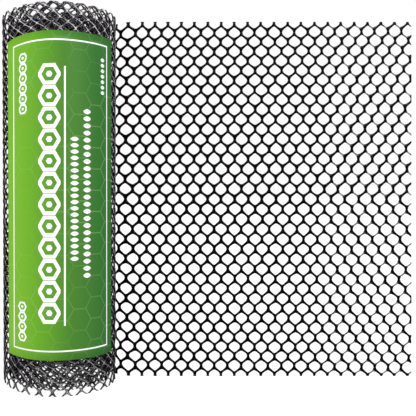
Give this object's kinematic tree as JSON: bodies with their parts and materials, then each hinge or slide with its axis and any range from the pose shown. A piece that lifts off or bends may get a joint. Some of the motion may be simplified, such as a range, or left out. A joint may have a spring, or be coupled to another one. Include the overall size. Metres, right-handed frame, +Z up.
{
  "type": "roll of plastic chicken wire",
  "caption": "Upright roll of black plastic hexagonal netting with an open core, its loose end drawn out flat beside it and a printed label round its front.",
  "frame": {"origin": "middle of the underside of the whole thing, roll and loose end together", "axes": "+X from the roll towards the cut end of the loose sheet, +Y from the labelled front towards the back, +Z up along the roll's axis"},
  "size_m": [0.4556, 0.1256, 0.4],
  "materials": {
    "net_plastic": "glossy black extruded polyethylene",
    "label_print": "printed satin paper, green shading from light to dark with a white keyline"
  },
  "bodies": {
    "root": {"roll": "net_plastic", "loose_bend": "net_plastic", "loose_end": "net_plastic", "label": "label_print"}
  },
  "joints": []
}
